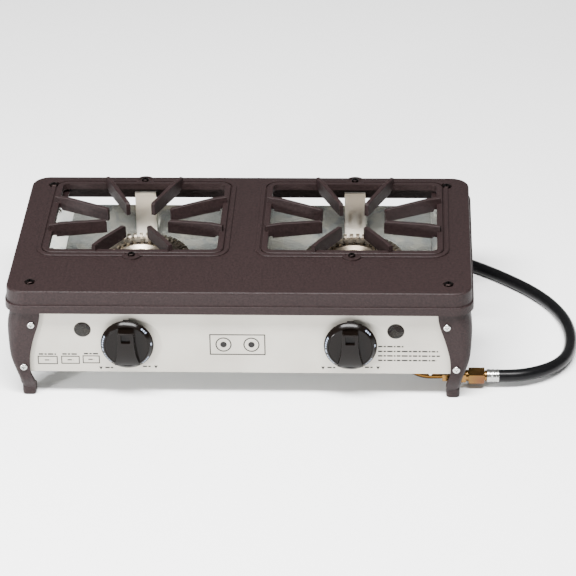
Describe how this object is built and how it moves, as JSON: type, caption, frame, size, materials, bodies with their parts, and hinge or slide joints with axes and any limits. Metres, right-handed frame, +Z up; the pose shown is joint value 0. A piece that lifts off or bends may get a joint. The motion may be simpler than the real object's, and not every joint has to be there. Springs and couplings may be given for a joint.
{
  "type": "camp stove",
  "caption": "Low two-burner gas camp stove: cast iron hob plate on cast legs, drop-in grates, steel panel with push-and-turn knobs, flexible hose and cylinder regulator.",
  "frame": {"origin": "on the floor under the middle of the stove's own box, knobs included and hose left out", "axes": "+X to the user's right along the plate, +Y to the back, +Z up; the knobs face -Y"},
  "size_m": [0.7837, 0.4878, 0.179],
  "materials": {
    "cast_black": "coarse cast surface, dark satin paint",
    "panel_steel": "brushed stainless sheet",
    "galvanised": "galvanised sheet",
    "burner_casting": "pale cast metal, satin",
    "zinc": "bright zinc plate",
    "brass": "machined, satin",
    "spring_steel": "bright wire",
    "knob_plastic": "moulded, fine texture",
    "chromate": "yellow chromate plate",
    "hose_rubber": "smooth, slightly glossy",
    "regulator_casting": "die cast, grey lacquer",
    "wheel_plastic": "moulded"
  },
  "bodies": {
    "stove": {"bracket_screw": "zinc", "burner_body_left": "burner_casting", "burner_body_right": "burner_casting", "burner_cap_left": "burner_casting", "burner_cap_right": "burner_casting", "burner_strap_left": "galvanised", "burner_strap_right": "galvanised", "burner_tray": "galvanised", "cap_screws": "zinc", "front_panel": "panel_steel", "gas_hose": "hose_rubber", "grate_left": "cast_black", "grate_nuts": "zinc", "grate_right": "cast_black", "grate_screws": "zinc", "hose_ferrules": "zinc", "hose_stem": "brass", "inlet_bracket": "zinc", "inlet_fitting": "brass", "inlet_locknut": "zinc", "inlet_tube": "brass", "jet_left": "brass", "jet_right": "brass", "leg_front_left": "cast_black", "leg_front_right": "cast_black", "leg_nuts": "zinc", "leg_rear_left": "cast_black", "leg_rear_right": "cast_black", "leg_screws": "zinc", "manifold_pipe": "galvanised", "manifold_plug": "zinc", "manifold_union": "brass", "panel_neck_nuts": "brass", "plate_screws": "zinc", "regulator_body": "regulator_casting", "regulator_cover": "regulator_casting", "regulator_screws": "zinc", "stem_spring_left": "spring_steel", "stem_spring_right": "spring_steel", "strap_nuts": "zinc", "strap_screws": "zinc", "top_plate": "cast_black", "tube_nuts": "brass", "valve_body_left": "brass", "valve_body_right": "brass", "valve_bonnet_left": "brass", "valve_bonnet_right": "brass"},
    "push_left": {"stem_washer_left": "zinc"},
    "knob_and_stem_left": {"knob_left": "knob_plastic", "valve_stem_left": "brass"},
    "plug_left": {"valve_plug_left": "brass"},
    "shutter_left": {"air_shutter_left": "galvanised"},
    "push_right": {"stem_washer_right": "zinc"},
    "knob_and_stem_right": {"knob_right": "knob_plastic", "valve_stem_right": "brass"},
    "plug_right": {"valve_plug_right": "brass"},
    "shutter_right": {"air_shutter_right": "galvanised"},
    "hose_swivel": {"hose_nut": "chromate"},
    "cylinder_swivel": {"cylinder_nut": "wheel_plastic"}
  },
  "joints": [
    {"name": "knob_push_left", "type": "slide", "parent": "stove", "child": "push_left", "axis": [0, 1, 0], "range_m": [0, 0.003], "stiffness_N_per_m": 1500, "springref_m": -0.003, "deforming": ["stem_spring_left"]},
    {"name": "knob_turn_left", "type": "hinge", "parent": "push_left", "child": "knob_and_stem_left", "pos_m": [-0.1515, -0.164, 0.086], "axis": [0, -1, 0], "range_deg": [0, 225]},
    {"name": "plug_turn_left", "type": "hinge", "parent": "stove", "child": "plug_left", "pos_m": [-0.1515, -0.1305, 0.086], "axis": [0, -1, 0], "range_deg": [0, 225]},
    {"name": "shutter_turn_left", "type": "hinge", "parent": "stove", "child": "shutter_left", "pos_m": [-0.1515, -0.1105, 0.086], "axis": [0, -1, 0], "range_deg": [0, 60]},
    {"name": "knob_push_right", "type": "slide", "parent": "stove", "child": "push_right", "axis": [0, 1, 0], "range_m": [0, 0.003], "stiffness_N_per_m": 1500, "springref_m": -0.003, "deforming": ["stem_spring_right"]},
    {"name": "knob_turn_right", "type": "hinge", "parent": "push_right", "child": "knob_and_stem_right", "pos_m": [0.1515, -0.164, 0.086], "axis": [0, -1, 0], "range_deg": [0, 225]},
    {"name": "plug_turn_right", "type": "hinge", "parent": "stove", "child": "plug_right", "pos_m": [0.1515, -0.1305, 0.086], "axis": [0, -1, 0], "range_deg": [0, 225]},
    {"name": "shutter_turn_right", "type": "hinge", "parent": "stove", "child": "shutter_right", "pos_m": [0.1515, -0.1105, 0.086], "axis": [0, -1, 0], "range_deg": [0, 60]},
    {"name": "hose_nut_turn", "type": "hinge", "parent": "stove", "child": "hose_swivel", "pos_m": [0.323, -0.1245, 0.017], "axis": [1, 0, 0], "continuous": true},
    {"name": "cylinder_nut_turn", "type": "hinge", "parent": "stove", "child": "cylinder_swivel", "pos_m": [-0.251, 0.2705, 0.0222], "axis": [-1, 0, 0], "continuous": true}
  ],
  "couplings": [
    {"joint": "plug_turn_left", "follows": "knob_turn_left", "ratio": 1},
    {"joint": "plug_turn_right", "follows": "knob_turn_right", "ratio": 1}
  ]
}
